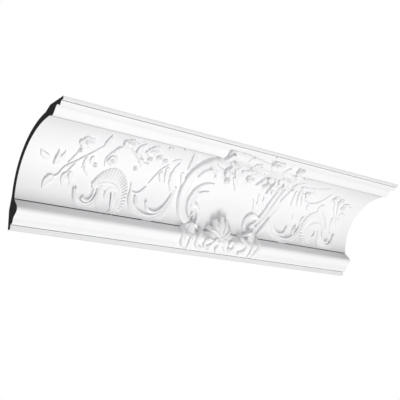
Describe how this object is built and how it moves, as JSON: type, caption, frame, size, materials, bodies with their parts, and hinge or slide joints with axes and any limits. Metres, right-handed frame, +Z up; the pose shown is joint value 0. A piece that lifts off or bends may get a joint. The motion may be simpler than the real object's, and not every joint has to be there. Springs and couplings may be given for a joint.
{
  "type": "cornice moulding length",
  "caption": "Cove cornice length for the corner of wall and ceiling, with crown and base mouldings and a rococo cartouche, flowers and scrolls in relief.",
  "frame": {"origin": "middle of the flat pad that is glued to the wall, at the moulding's foot", "axes": "+X along the length, to the right as seen from the room, +Y into the wall, +Z up to the ceiling"},
  "size_m": [0.9, 0.2, 0.196],
  "materials": {
    "primed_foam": "matt white primer over moulded hard foam"
  },
  "bodies": {
    "root": {"cornice_moulding": "primed_foam"}
  },
  "joints": []
}
